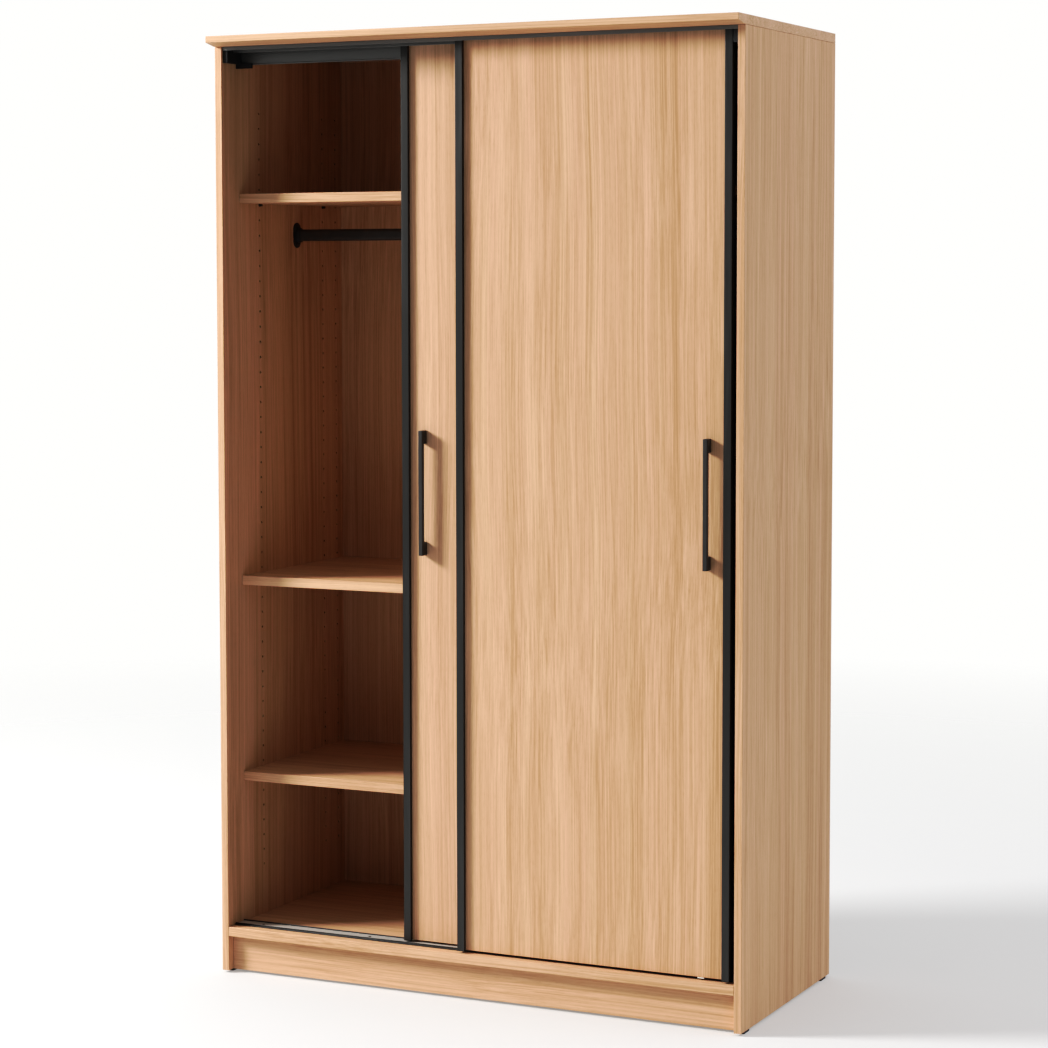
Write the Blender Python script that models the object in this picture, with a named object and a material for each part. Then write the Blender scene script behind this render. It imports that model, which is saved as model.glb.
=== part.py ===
"""Two-door sliding wardrobe, modelled as separate parts.

Metres, +Z up, origin on the floor under the centre of the whole piece, front towards -Y.
Depths below are measured back from the front edges of the side panels, and one empty
carries them to their place. At rest the rear door, on the left, stands partly open.
"""

import math

import bmesh
import bpy

# Carcass
WIDTH = 1.200
DEPTH = 0.540
HEIGHT = 2.020
SIDE_THICKNESS = 0.016
BOARD_THICKNESS = 0.020
TOP_OVERHANG = 0.038
TOP_EDGE_HEIGHT = 0.0135
TOP_BEVEL_DEPTH = 0.034
GLIDE_HEIGHT = 0.005
BOTTOM_TOP_Z = 0.101
PLINTH_RECESS = 0.020
PLINTH_THICKNESS = 0.016
REAR_PLINTH_DEPTH = 0.500
BACK_THICKNESS = 0.003
BACK_PLANE = 0.530
BACK_BOTTOM_Z = 0.060
GROOVE_DEPTH = 0.006
GAP = 0.0003

# Inside
INSIDE_FRONT = 0.070
DIVIDER_FRONT = 0.075
SHELF_TOPS = {"upper": 1.690, "middle": 0.8625, "lower": 0.4325}
PIN_RADIUS = 0.0025
PIN_HOLE_RADIUS = 0.0028
PIN_HOLE_LENGTH = 0.007
PIN_LENGTH = 0.0145
PIN_ROWS = (0.156, 0.440)
RAIL_DEPTH = 0.320
RAIL_Z = 1.603
RAIL_SIZE = (0.015, 0.026)
RAIL_WALL = 0.0012
SOCKET_PLATE = (0.030, 0.056)
SOCKET_PLATE_THICKNESS = 0.003
SOCKET_CUP = (0.021, 0.032)
SOCKET_LENGTH = 0.013

# Doors
DOOR_WIDTH = 0.604
DOOR_PITCH = 0.034
DOOR_FRONT = 0.0065
FRONT_DOOR_CENTRE = 0.269
REAR_DOOR_CENTRE = 0.1265
STILE_WIDTH = 0.016
STILE_DEPTH = 0.018
STILE_WALL = 0.0015
STILE_BOTTOM_Z = 0.1055
STILE_TOP_Z = 1.993
STILE_LIP = 0.0012
PANEL_RECESS = 0.009
PANEL_THICKNESS = 0.0075
PANEL_BOTTOM_Z = 0.107
PANEL_TOP_Z = 1.993
SLOT_DEPTH = 0.007
GUIDE_DEPTH = 0.024
GUIDE_TOP_Z = 1.9972
PLUG_LENGTH = 0.012

# Handles
HANDLE_INSET = 0.0495
HANDLE_Z = 1.060
HANDLE_LENGTH = 0.262
HANDLE_BAR = 0.0095
HANDLE_POST = 0.028
HANDLE_REACH = 0.023

# Rollers
WHEEL_RADIUS = 0.012
WHEEL_GROOVE_RADIUS = 0.010
WHEEL_WIDTH = 0.005
WHEEL_GROOVE = 0.0028
WHEEL_BORE = 0.0023
WHEEL_STEPS = 24
AXLE_RADIUS = 0.002
AXLE_BITE = 0.0008
WHEEL_INSET = 0.0635
WHEEL_DEPTH = 0.0244
HOUSING_DEPTH = 0.0152
HOUSING_SLOT = 0.0062
HOUSING_BASE = 0.052
HOUSING_HEAD = 0.036
HOUSING_BOTTOM_Z = 0.108
HOUSING_TOP_Z = 0.158

# Tracks
TRACK_FRONT = 0.0035
TRACK_WALL = 0.002
TRACK_REAR = 0.068
LIP_BOTTOM_Z = 1.992
RIB_FRONT = 0.031
RIB_BOTTOM_Z = 1.988
REAR_WALL_BOTTOM_Z = 1.964
BOTTOM_TRACK_FRONT = 0.024
BOTTOM_TRACK_REAR = 0.070
BOTTOM_TRACK_BASE = 0.0015
RIB_HEIGHT = 0.0025
RIB_WIDTH = 0.002
BLOCK_LENGTH = 0.0112
BLOCK_BOTTOM_Z = 1.9665
BLOCK_DEPTHS = (0.0062, 0.0655)
TOE_LENGTH = 0.0387
TOE_FRONT = 0.060
TOE_BOTTOM_Z = 1.957
TOE_OVERLAP = 0.001

# Glides
GLIDE_WIDTH = 0.014
GLIDE_LENGTH = 0.030
GLIDE_SETBACK = 0.020

# Places worked out from the sizes above
CARCASS_FRONT_Y = (TOP_OVERHANG - DEPTH) / 2
INNER_X = WIDTH / 2 - SIDE_THICKNESS
TOP_UNDERSIDE_Z = HEIGHT - BOARD_THICKNESS
REAR_EDGE = BACK_PLANE - 2 * GAP
DIVIDER_X = SIDE_THICKNESS / 2
TRACK_TOP_Z = BOTTOM_TOP_Z + GAP + BOTTOM_TRACK_BASE
RIB_TOP_Z = TRACK_TOP_Z + RIB_HEIGHT
AXLE_Z = RIB_TOP_Z + GAP + WHEEL_GROOVE_RADIUS
TRACK_WEB_Z = TOP_UNDERSIDE_Z - GAP - TRACK_WALL

# Meshing
SMOOTH_ANGLE = math.radians(35)
MERGE_DISTANCE = 1e-6

# Finishes: colour, roughness, metallic
FINISHES = {
    "oak_carcass": ((0.72, 0.46, 0.25), 0.48, 0.0),
    "oak_shelf": ((0.70, 0.45, 0.25), 0.48, 0.0),
    "oak_door": ((0.74, 0.48, 0.27), 0.46, 0.0),
    "oak_back": ((0.55, 0.34, 0.18), 0.60, 0.0),
    "black_aluminium": ((0.035, 0.035, 0.036), 0.38, 0.9),
    "black_metal": ((0.025, 0.025, 0.026), 0.42, 0.6),
    "black_plastic": ((0.015, 0.015, 0.016), 0.55, 0.0),
    "white_nylon": ((0.80, 0.80, 0.78), 0.45, 0.0),
    "dark_steel": ((0.10, 0.09, 0.08), 0.45, 0.9),
}


def clear_scene():
    """Removes every object, so that the file can run again in an open scene."""
    for obj in list(bpy.data.objects):
        bpy.data.objects.remove(obj, do_unlink=True)


def make_materials():
    """One Principled material for each finish."""
    materials = {}
    for name, (colour, roughness, metallic) in FINISHES.items():
        material = bpy.data.materials.new(name)
        material.use_nodes = True
        shader = material.node_tree.nodes["Principled BSDF"]
        shader.inputs["Base Color"].default_value = (*colour, 1.0)
        shader.inputs["Roughness"].default_value = roughness
        shader.inputs["Metallic"].default_value = metallic
        materials[name] = material
    return materials


def add_empty(name, parent=None, location=(0, 0, 0)):
    """An empty that other objects hang from."""
    empty = bpy.data.objects.new(name, None)
    bpy.context.scene.collection.objects.link(empty)
    empty.parent = parent
    empty.location = location
    return empty


def add_object(name, bm, finish, parent, location=(0, 0, 0), smooth=False):
    """Links a finished bmesh as a named object with one material."""
    bmesh.ops.recalc_face_normals(bm, faces=bm.faces)
    mesh = bpy.data.meshes.new(name)
    bm.to_mesh(mesh)
    bm.free()
    if finish:
        mesh.materials.append(bpy.data.materials[finish])
    if smooth:
        mesh.shade_smooth()
        mesh.set_sharp_from_angle(angle=SMOOTH_ANGLE)
    obj = bpy.data.objects.new(name, mesh)
    bpy.context.scene.collection.objects.link(obj)
    obj.parent = parent
    obj.location = location
    return obj


def block(name, low, high, finish, parent):
    """A plain board between two corners, with its origin at its centre."""
    bm = bmesh.new()
    bmesh.ops.create_cube(bm, size=1)
    size = [b - a for a, b in zip(low, high)]
    bmesh.ops.scale(bm, verts=bm.verts, vec=size)
    centre = [(a + b) / 2 for a, b in zip(low, high)]
    return add_object(name, bm, finish, parent, centre)


def prism(name, outline, axis, start, length, finish, parent, smooth=False):
    """An outline drawn across one axis, extruded along that axis from start."""
    bm = bmesh.new()
    corners = [bm.verts.new(point_on(axis, start, a, b)) for a, b in outline]
    face = bm.faces.new(corners)
    extruded = bmesh.ops.extrude_face_region(bm, geom=[face])
    moved = [v for v in extruded["geom"] if isinstance(v, bmesh.types.BMVert)]
    step = point_on(axis, length, 0, 0)
    bmesh.ops.translate(bm, verts=moved, vec=step)
    return add_object(name, bm, finish, parent, smooth=smooth)


def point_on(axis, along, a, b):
    """The point at a distance along an axis, with the other two coordinates in X, Y, Z order."""
    if axis == "X":
        return (along, a, b)
    if axis == "Y":
        return (a, along, b)
    return (a, b, along)


def stadium(width, height, centre, steps=8):
    """An upright outline with round ends, width across and height tall."""
    radius = width / 2
    straight = height / 2 - radius
    points = []
    for end in (1, -1):
        for i in range(steps + 1):
            angle = math.pi * i / steps + (0 if end > 0 else math.pi)
            across = centre[0] + radius * math.cos(angle)
            up = centre[1] + end * straight + radius * math.sin(angle)
            points.append((across, up))
    return points


def cylinder(name, axis, centre, radius, length, finish, parent, steps=16):
    """A round bar centred on a point, lying along X or Y."""
    bm = bmesh.new()
    bmesh.ops.create_cone(
        bm, cap_ends=True, segments=steps, radius1=radius, radius2=radius, depth=length
    )
    obj = add_object(name, bm, finish, parent, centre, smooth=True)
    obj.rotation_euler = (0, math.pi / 2, 0) if axis == "X" else (math.pi / 2, 0, 0)
    return obj


def combine(obj, tool, operation):
    """Applies one solid to another with a Boolean and hides the tool."""
    modifier = obj.modifiers.new(tool.name, "BOOLEAN")
    modifier.operation = operation
    modifier.object = tool
    modifier.solver = "EXACT"
    tool.hide_render = True
    tool.display_type = "WIRE"


def pin_height(shelf):
    """The height of the middle of a shelf's pins."""
    return SHELF_TOPS[shelf] - BOARD_THICKNESS - GAP - PIN_RADIUS


def bore_pin_holes(board, face_x, side, shelves, parent):
    """Sinks the given shelves' pin holes into the face at face_x, which looks towards side."""
    middle_x = face_x - side * (PIN_HOLE_LENGTH - GAP) / 2
    for shelf in shelves:
        for row, depth in enumerate(PIN_ROWS):
            name = f"cutter_{board.name}_{shelf}_{row}_{side}"
            centre = (middle_x, depth, pin_height(shelf))
            length = PIN_HOLE_LENGTH + GAP
            hole = cylinder(name, "X", centre, PIN_HOLE_RADIUS, length, None, parent)
            combine(board, hole, "DIFFERENCE")


def build_sides(root):
    """Side panels with a groove for the back and holes for the shelf pins."""
    shelves = {"left": ("upper", "lower"), "right": ("upper",)}
    for name, side in (("left", -1), ("right", 1)):
        outer, inner = side * WIDTH / 2, side * INNER_X
        low = (min(outer, inner), 0, GLIDE_HEIGHT)
        high = (max(outer, inner), DEPTH, TOP_UNDERSIDE_Z - GAP)
        panel = block(f"side_panel_{name}", low, high, "oak_carcass", root)
        groove_x = sorted((inner + side * GROOVE_DEPTH, inner - side * GAP))
        groove_y = (BACK_PLANE - GAP, BACK_PLANE + BACK_THICKNESS + GAP)
        groove = block(
            f"cutter_groove_{name}",
            (groove_x[0], groove_y[0], 0),
            (groove_x[1], groove_y[1], HEIGHT),
            None,
            root,
        )
        combine(panel, groove, "DIFFERENCE")
        bore_pin_holes(panel, inner, -side, shelves[name], root)


def build_top(root):
    """Top board, whose front edge is bevelled underneath and stands out over the doors."""
    outline = [
        (-TOP_OVERHANG, HEIGHT - TOP_EDGE_HEIGHT),
        (TOP_BEVEL_DEPTH - TOP_OVERHANG, TOP_UNDERSIDE_Z),
        (DEPTH, TOP_UNDERSIDE_Z),
        (DEPTH, HEIGHT),
        (-TOP_OVERHANG, HEIGHT),
    ]
    prism("top_board", outline, "X", -WIDTH / 2, WIDTH, "oak_carcass", root)


def build_base(root):
    """Bottom board with the two plinth boards under it."""
    reach = INNER_X - GAP
    under = BOTTOM_TOP_Z - BOARD_THICKNESS
    low, high = (-reach, 0, under), (reach, REAR_EDGE, BOTTOM_TOP_Z)
    block("bottom_board", low, high, "oak_carcass", root)
    for name, depth in (("front", PLINTH_RECESS), ("rear", REAR_PLINTH_DEPTH)):
        low = (-reach, depth, GLIDE_HEIGHT)
        high = (reach, depth + PLINTH_THICKNESS, under - GAP)
        block(f"plinth_{name}", low, high, "oak_carcass", root)


def build_back(root):
    """Two thin back panels that meet behind the divider and stand in the sides' grooves."""
    outer = INNER_X + GROOVE_DEPTH - 2 * GAP
    rear = BACK_PLANE + BACK_THICKNESS
    for name, ends in (("left", (-outer, -GAP)), ("right", (GAP, outer))):
        low = (ends[0], BACK_PLANE, BACK_BOTTOM_Z)
        high = (ends[1], rear, TOP_UNDERSIDE_Z - GAP)
        block(f"back_panel_{name}", low, high, "oak_back", root)


def build_divider(root):
    """Upright divider in the middle, with pin holes on both faces."""
    low = (-DIVIDER_X, DIVIDER_FRONT, BOTTOM_TOP_Z + GAP)
    high = (DIVIDER_X, REAR_EDGE, TOP_UNDERSIDE_Z - GAP)
    divider = block("centre_divider", low, high, "oak_carcass", root)
    bore_pin_holes(divider, -DIVIDER_X, -1, ("upper", "lower"), root)
    bore_pin_holes(divider, DIVIDER_X, 1, ("upper",), root)


def build_shelves(root):
    """Three shelves on the left and one on the right."""
    left = (-INNER_X + GAP, -DIVIDER_X - GAP)
    right = (DIVIDER_X + GAP, INNER_X - GAP)
    places = [(f"{name}_left", left) for name in SHELF_TOPS] + [("upper_right", right)]
    for name, (low_x, high_x) in places:
        top = SHELF_TOPS[name.split("_")[0]]
        low = (low_x, INSIDE_FRONT, top - BOARD_THICKNESS)
        high = (high_x, REAR_EDGE, top)
        block(f"shelf_{name}", low, high, "oak_shelf", root)


def build_pins(root):
    """Shelf pins: four under each adjustable shelf."""
    faces = {
        "outer_left": (-INNER_X, 1),
        "inner_left": (-DIVIDER_X, -1),
        "inner_right": (DIVIDER_X, 1),
        "outer_right": (INNER_X, -1),
    }
    places = [("upper", "outer_left"), ("upper", "inner_left"), ("upper", "inner_right")]
    places += [("upper", "outer_right"), ("lower", "outer_left"), ("lower", "inner_left")]
    middle = PIN_LENGTH / 2 - PIN_HOLE_LENGTH + GAP
    for shelf, face in places:
        face_x, side = faces[face]
        for row, depth in zip(("front", "rear"), PIN_ROWS):
            centre = (face_x + side * middle, depth, pin_height(shelf))
            name = f"shelf_pin_{shelf}_{face}_{row}"
            cylinder(name, "X", centre, PIN_RADIUS, PIN_LENGTH, "dark_steel", root, 12)


def build_rail(root, name, low_x, high_x):
    """One hanging rail, an oval tube, with a socket at each end."""
    place = (RAIL_DEPTH, RAIL_Z)
    start = low_x + GAP + SOCKET_PLATE_THICKNESS + GAP
    length = high_x - low_x - 2 * (start - low_x)
    outer = stadium(*RAIL_SIZE, place)
    bore = stadium(RAIL_SIZE[0] - 2 * RAIL_WALL, RAIL_SIZE[1] - 2 * RAIL_WALL, place)
    rail = prism(
        f"hanging_rail_{name}", outer, "X", start, length, "black_metal", root, smooth=True
    )
    hollow = prism(
        f"cutter_rail_{name}", bore, "X", start - GAP, length + 2 * GAP, None, root
    )
    combine(rail, hollow, "DIFFERENCE")
    for end, face_x, side in (("left", low_x, 1), ("right", high_x, -1)):
        build_socket(root, f"rail_socket_{name}_{end}", face_x + side * GAP, side)


def build_socket(root, name, face_x, side):
    """A rail socket: an oval plate on the upright with a cup that holds the tube."""
    place = (RAIL_DEPTH, RAIL_Z)
    plate_length = side * SOCKET_PLATE_THICKNESS
    plate = prism(
        name, stadium(*SOCKET_PLATE, place), "X", face_x, plate_length, "black_plastic", root, True
    )
    half = side * SOCKET_PLATE_THICKNESS / 2
    cup_length = side * SOCKET_LENGTH - half
    cup = prism(
        f"joiner_{name}", stadium(*SOCKET_CUP, place), "X", face_x + half, cup_length, None, root
    )
    combine(plate, cup, "UNION")
    pocket_outline = stadium(RAIL_SIZE[0] + 2 * GAP, RAIL_SIZE[1] + 2 * GAP, place)
    pocket_start = face_x + side * SOCKET_PLATE_THICKNESS
    pocket = prism(
        f"cutter_{name}", pocket_outline, "X", pocket_start, side * SOCKET_LENGTH, None, root
    )
    combine(plate, pocket, "DIFFERENCE")


def build_tracks(root):
    """Top track, with a channel for each door, and bottom track, with a running rib for each."""
    roof = TOP_UNDERSIDE_Z - GAP
    rib = (RIB_FRONT, RIB_FRONT + TRACK_WALL)
    top = [
        (TRACK_FRONT, LIP_BOTTOM_Z),
        (TRACK_FRONT, roof),
        (TRACK_REAR, roof),
        (TRACK_REAR, REAR_WALL_BOTTOM_Z),
        (TRACK_REAR - TRACK_WALL, REAR_WALL_BOTTOM_Z),
        (TRACK_REAR - TRACK_WALL, TRACK_WEB_Z),
        (rib[1], TRACK_WEB_Z),
        (rib[1], RIB_BOTTOM_Z),
        (rib[0], RIB_BOTTOM_Z),
        (rib[0], TRACK_WEB_Z),
        (TRACK_FRONT + TRACK_WALL, TRACK_WEB_Z),
        (TRACK_FRONT + TRACK_WALL, LIP_BOTTOM_Z),
    ]
    reach = INNER_X - GAP
    prism("top_track", top, "X", -reach, 2 * reach, "black_aluminium", root)
    floor = BOTTOM_TOP_Z + GAP
    bottom = [(BOTTOM_TRACK_FRONT, floor), (BOTTOM_TRACK_REAR, floor)]
    bottom.append((BOTTOM_TRACK_REAR, TRACK_TOP_Z))
    for offset in (DOOR_PITCH, 0):
        middle = DOOR_FRONT + WHEEL_DEPTH + offset
        rear, front = middle + RIB_WIDTH / 2, middle - RIB_WIDTH / 2
        bottom += [(rear, TRACK_TOP_Z), (rear, RIB_TOP_Z), (front, RIB_TOP_Z), (front, TRACK_TOP_Z)]
    bottom.append((BOTTOM_TRACK_FRONT, TRACK_TOP_Z))
    prism("bottom_track", bottom, "X", -reach, 2 * reach, "black_aluminium", root)


def build_end_blocks(root):
    """Stop blocks at both ends of the top track, each with a toe below the track's rear wall."""
    front, rear = BLOCK_DEPTHS
    roof = TRACK_WEB_Z - GAP
    slot = (RIB_FRONT - GAP, RIB_FRONT + TRACK_WALL + GAP)
    outline = [
        (front, BLOCK_BOTTOM_Z),
        (rear, BLOCK_BOTTOM_Z),
        (rear, roof),
        (slot[1], roof),
        (slot[1], RIB_BOTTOM_Z - GAP),
        (slot[0], RIB_BOTTOM_Z - GAP),
        (slot[0], roof),
        (front, roof),
    ]
    for name, side in (("left", -1), ("right", 1)):
        start = side * (INNER_X - GAP)
        body = prism(
            f"track_stop_{name}", outline, "X", start, -side * BLOCK_LENGTH, "black_plastic", root
        )
        toe_x = sorted((start, start - side * TOE_LENGTH))
        low = (toe_x[0], TOE_FRONT, TOE_BOTTOM_Z)
        high = (toe_x[1], rear, BLOCK_BOTTOM_Z + TOE_OVERLAP)
        toe = block(f"joiner_toe_{name}", low, high, None, root)
        combine(body, toe, "UNION")


def build_glides(root):
    """Four glides under the side panels."""
    for name, side in (("left", -1), ("right", 1)):
        middle = side * (WIDTH - SIDE_THICKNESS) / 2
        starts = {"front": GLIDE_SETBACK, "rear": DEPTH - GLIDE_SETBACK - GLIDE_LENGTH}
        for end, start in starts.items():
            low = (middle - GLIDE_WIDTH / 2, start, 0)
            high = (middle + GLIDE_WIDTH / 2, start + GLIDE_LENGTH, GLIDE_HEIGHT - GAP)
            block(f"glide_{end}_{name}", low, high, "black_plastic", root)


def build_stile(door, name, side):
    """A hollow aluminium stile: a box section with a slot for the panel on its inner side."""
    outer = side * DOOR_WIDTH / 2
    inner = outer - side * STILE_WIDTH
    slot_end = inner + side * SLOT_DEPTH
    slot = (PANEL_RECESS - GAP, STILE_DEPTH - STILE_LIP)
    outline = [
        (outer, 0),
        (outer, STILE_DEPTH),
        (inner, STILE_DEPTH),
        (inner, slot[1]),
        (slot_end, slot[1]),
        (slot_end, slot[0]),
        (inner, slot[0]),
        (inner, 0),
    ]
    height = STILE_TOP_Z - STILE_BOTTOM_Z
    stile = prism(name, outline, "Z", STILE_BOTTOM_Z, height, "black_aluminium", door)
    chamber_x = sorted((outer - side * STILE_WALL, inner + side * STILE_WALL))
    chamber_y = (STILE_WALL, slot[0] - STILE_WALL)
    chamber = block(
        f"cutter_{name}",
        (chamber_x[0], chamber_y[0], 0),
        (chamber_x[1], chamber_y[1], HEIGHT),
        None,
        door,
    )
    combine(stile, chamber, "DIFFERENCE")
    guide_x = sorted((outer, inner))
    guide = block(
        name.replace("stile", "guide"),
        (guide_x[0], 0, STILE_TOP_Z + GAP),
        (guide_x[1], GUIDE_DEPTH, GUIDE_TOP_Z),
        "black_plastic",
        door,
    )
    plug = block(
        f"joiner_{name}",
        (chamber_x[0] + GAP, chamber_y[0] + GAP, STILE_TOP_Z - PLUG_LENGTH),
        (chamber_x[1] - GAP, chamber_y[1] - GAP, STILE_TOP_Z + 2 * GAP),
        None,
        door,
    )
    combine(guide, plug, "UNION")


def build_handle(door, name, side):
    """A square bar handle on two posts, near the door's outer edge."""
    middle = side * (DOOR_WIDTH / 2 - HANDLE_INSET)
    foot = PANEL_RECESS - GAP
    front = PANEL_RECESS - HANDLE_REACH
    top, bottom = HANDLE_Z + HANDLE_LENGTH / 2, HANDLE_Z - HANDLE_LENGTH / 2
    outline = [
        (front, bottom),
        (foot, bottom),
        (foot, bottom + HANDLE_POST),
        (front + HANDLE_BAR, bottom + HANDLE_POST),
        (front + HANDLE_BAR, top - HANDLE_POST),
        (foot, top - HANDLE_POST),
        (foot, top),
        (front, top),
    ]
    prism(name, outline, "X", middle - HANDLE_BAR / 2, HANDLE_BAR, "black_metal", door)


def wheel_mesh(bm):
    """A grooved wheel turned about Y, with a bore for its axle."""
    half, groove = WHEEL_WIDTH / 2, WHEEL_GROOVE / 2
    profile = [
        (WHEEL_BORE, -half),
        (WHEEL_RADIUS, -half),
        (WHEEL_RADIUS, -groove),
        (WHEEL_GROOVE_RADIUS, -groove),
        (WHEEL_GROOVE_RADIUS, groove),
        (WHEEL_RADIUS, groove),
        (WHEEL_RADIUS, half),
        (WHEEL_BORE, half),
    ]
    verts = [bm.verts.new((radius, along, 0)) for radius, along in profile]
    edges = [bm.edges.new((a, b)) for a, b in zip(verts, verts[1:] + verts[:1])]
    bmesh.ops.spin(
        bm,
        geom=verts + edges,
        cent=(0, 0, 0),
        axis=(0, 1, 0),
        angle=2 * math.pi,
        steps=WHEEL_STEPS,
        use_merge=True,
        use_duplicate=False,
    )
    bmesh.ops.remove_doubles(bm, verts=bm.verts, dist=MERGE_DISTANCE)


def build_roller(door, name, middle):
    """A roller: a housing behind the panel's foot, with a fixed axle, and the wheel on it."""
    rear = PANEL_RECESS + PANEL_THICKNESS + GAP
    outline = [
        (middle - HOUSING_BASE / 2, HOUSING_BOTTOM_Z),
        (middle + HOUSING_BASE / 2, HOUSING_BOTTOM_Z),
        (middle + HOUSING_HEAD / 2, HOUSING_TOP_Z),
        (middle - HOUSING_HEAD / 2, HOUSING_TOP_Z),
    ]
    housing = prism(
        f"{name}_housing", outline, "Y", rear, HOUSING_DEPTH, "black_plastic", door
    )
    clearance = WHEEL_RADIUS + 2 * GAP
    slot = block(
        f"cutter_{name}",
        (middle - clearance, WHEEL_DEPTH - HOUSING_SLOT / 2, 0),
        (middle + clearance, WHEEL_DEPTH + HOUSING_SLOT / 2, AXLE_Z + clearance),
        None,
        door,
    )
    combine(housing, slot, "DIFFERENCE")
    centre = (middle, WHEEL_DEPTH, AXLE_Z)
    axle_length = HOUSING_SLOT + 2 * AXLE_BITE
    axle = cylinder(f"joiner_{name}", "Y", centre, AXLE_RADIUS, axle_length, None, door)
    combine(housing, axle, "UNION")
    bm = bmesh.new()
    wheel_mesh(bm)
    add_object(f"{name}_wheel", bm, "white_nylon", door, centre, smooth=True)


def build_door(root, name, middle, offset, handle_side):
    """One door: panel, two stiles with top guides, handle and two rollers."""
    door = add_empty(f"{name}_origin", root, (middle, DOOR_FRONT + offset, 0))
    reach = DOOR_WIDTH / 2 - STILE_WIDTH + SLOT_DEPTH - GAP
    low = (-reach, PANEL_RECESS, PANEL_BOTTOM_Z)
    high = (reach, PANEL_RECESS + PANEL_THICKNESS, PANEL_TOP_Z)
    block(f"{name}_panel", low, high, "oak_door", door)
    build_handle(door, f"{name}_handle", handle_side)
    for end, side in (("left", -1), ("right", 1)):
        build_stile(door, f"{name}_stile_{end}", side)
        build_roller(door, f"{name}_roller_{end}", side * (DOOR_WIDTH / 2 - WHEEL_INSET))


def main():
    clear_scene()
    make_materials()
    root = add_empty("carcass_front", location=(0, CARCASS_FRONT_Y, 0))
    build_sides(root)
    build_top(root)
    build_base(root)
    build_back(root)
    build_divider(root)
    build_shelves(root)
    build_pins(root)
    build_rail(root, "left", -INNER_X, -DIVIDER_X)
    build_rail(root, "right", DIVIDER_X, INNER_X)
    build_tracks(root)
    build_end_blocks(root)
    build_glides(root)
    build_door(root, "front_door", FRONT_DOOR_CENTRE, 0, 1)
    build_door(root, "rear_door", REAR_DOOR_CENTRE, DOOR_PITCH, -1)


main()
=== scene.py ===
"""Finished look of a two-door sliding wardrobe, built round its fixed frame.

Metres, +Z up, front towards -Y. Every sub-assembly is a class that takes its places
from the frame's nodes and its smaller sizes from its own fields.
"""

import logging
import math
from collections.abc import Callable, Iterable, Sequence
from dataclasses import dataclass, field
from enum import Enum

import bmesh
import bpy
from mathutils import Euler, Matrix, Vector


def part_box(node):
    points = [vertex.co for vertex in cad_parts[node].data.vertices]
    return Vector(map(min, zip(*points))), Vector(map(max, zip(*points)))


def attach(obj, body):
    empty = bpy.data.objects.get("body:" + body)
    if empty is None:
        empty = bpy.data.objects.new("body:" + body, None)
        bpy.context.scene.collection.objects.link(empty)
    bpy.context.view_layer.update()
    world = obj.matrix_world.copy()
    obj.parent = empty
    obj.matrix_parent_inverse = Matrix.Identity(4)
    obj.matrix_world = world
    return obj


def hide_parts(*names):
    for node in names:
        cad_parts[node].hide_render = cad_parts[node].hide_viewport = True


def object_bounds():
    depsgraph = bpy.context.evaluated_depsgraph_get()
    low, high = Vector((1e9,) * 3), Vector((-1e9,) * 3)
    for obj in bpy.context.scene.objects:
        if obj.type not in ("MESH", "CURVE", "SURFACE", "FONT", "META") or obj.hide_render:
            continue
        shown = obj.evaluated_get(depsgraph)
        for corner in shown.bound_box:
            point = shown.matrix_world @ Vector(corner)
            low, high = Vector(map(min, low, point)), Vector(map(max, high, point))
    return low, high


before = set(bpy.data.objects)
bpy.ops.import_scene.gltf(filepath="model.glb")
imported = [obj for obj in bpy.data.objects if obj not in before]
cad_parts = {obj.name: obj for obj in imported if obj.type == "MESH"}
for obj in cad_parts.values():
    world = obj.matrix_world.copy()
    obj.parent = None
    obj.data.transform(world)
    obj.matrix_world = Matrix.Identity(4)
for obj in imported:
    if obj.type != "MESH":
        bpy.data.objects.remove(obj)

log = logging.getLogger("wardrobe")

CAD_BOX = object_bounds()
CARCASS = "carcass"
GAP = 0.0003
Colour = tuple[float, float, float]
Outline = Sequence[tuple[float, float]]
Cells = tuple[float, float]


class Axis(Enum):
    """A direction that a length or a grain runs in."""

    X = 0
    Y = 1
    Z = 2


class Side(Enum):
    """An outward side of a board."""

    LEFT = (-1.0, 0.0, 0.0)
    RIGHT = (1.0, 0.0, 0.0)
    FRONT = (0.0, -1.0, 0.0)
    REAR = (0.0, 1.0, 0.0)
    BOTTOM = (0.0, 0.0, -1.0)
    TOP = (0.0, 0.0, 1.0)


class Join(Enum):
    """What a second solid does to the first."""

    CUT = "DIFFERENCE"
    WELD = "UNION"


# ---------------------------------------------------------------- shader sheets


class Value:
    """A shader socket that Python's arithmetic works on."""

    def __init__(self, sheet: "Sheet", socket: bpy.types.NodeSocket) -> None:
        """Keeps the socket and the sheet that new nodes go on."""
        self.sheet = sheet
        self.socket = socket

    def __add__(self, other: "Value | float") -> "Value":
        """Sum of two values."""
        return self.sheet.math("ADD", self, other)

    def __sub__(self, other: "Value | float") -> "Value":
        """This value less the other."""
        return self.sheet.math("SUBTRACT", self, other)

    def __rsub__(self, other: float) -> "Value":
        """A number less this value."""
        return self.sheet.math("SUBTRACT", other, self)

    def __mul__(self, other: "Value | float") -> "Value":
        """Product of two values."""
        return self.sheet.math("MULTIPLY", self, other)

    __radd__ = __add__
    __rmul__ = __mul__


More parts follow.
